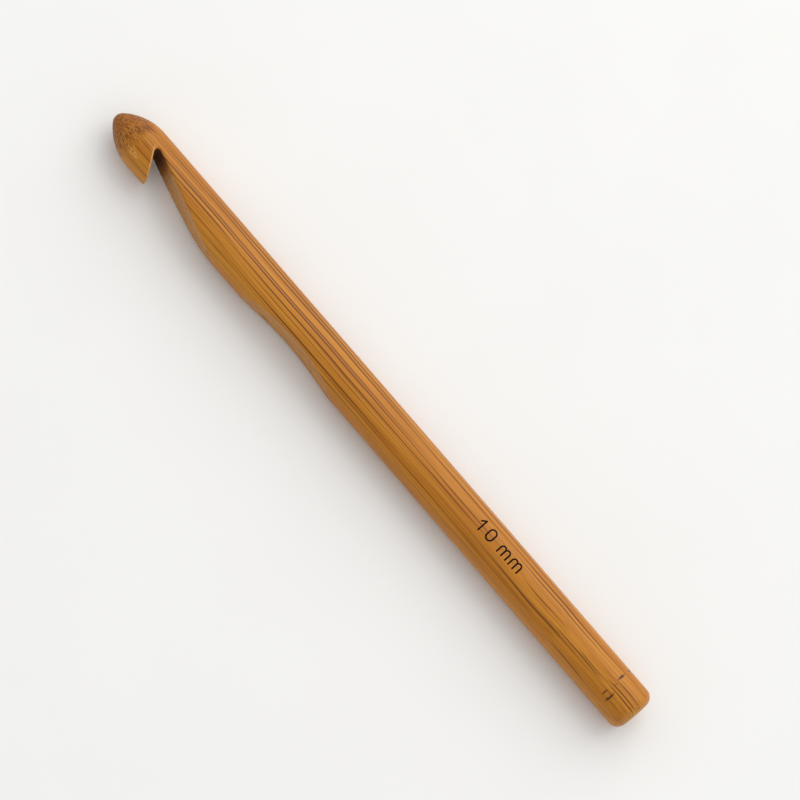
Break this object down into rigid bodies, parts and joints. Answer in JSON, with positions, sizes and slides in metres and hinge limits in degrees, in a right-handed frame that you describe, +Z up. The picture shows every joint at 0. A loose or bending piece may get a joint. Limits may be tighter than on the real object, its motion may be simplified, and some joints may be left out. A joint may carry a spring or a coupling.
{
  "type": "crochet hook",
  "caption": "Carved bamboo crochet hook with an in-line head, an undercut mouth, a tapered throat and a ground thumb rest.",
  "frame": {"origin": "on the plane that the hook lies on, below the middle of its length", "axes": "+X along the rod from the butt to the nose, +Y towards the side of the mouth and the thumb rest, +Z up out of the side that carries the size mark"},
  "size_m": [0.157, 0.01, 0.01],
  "materials": {
    "carbonised_bamboo": "fine sanded, with a thin satin lacquer",
    "bamboo_char": "matt, burned"
  },
  "bodies": {
    "root": {"bamboo_rod": "carbonised_bamboo", "size_mark": "bamboo_char"}
  },
  "joints": []
}
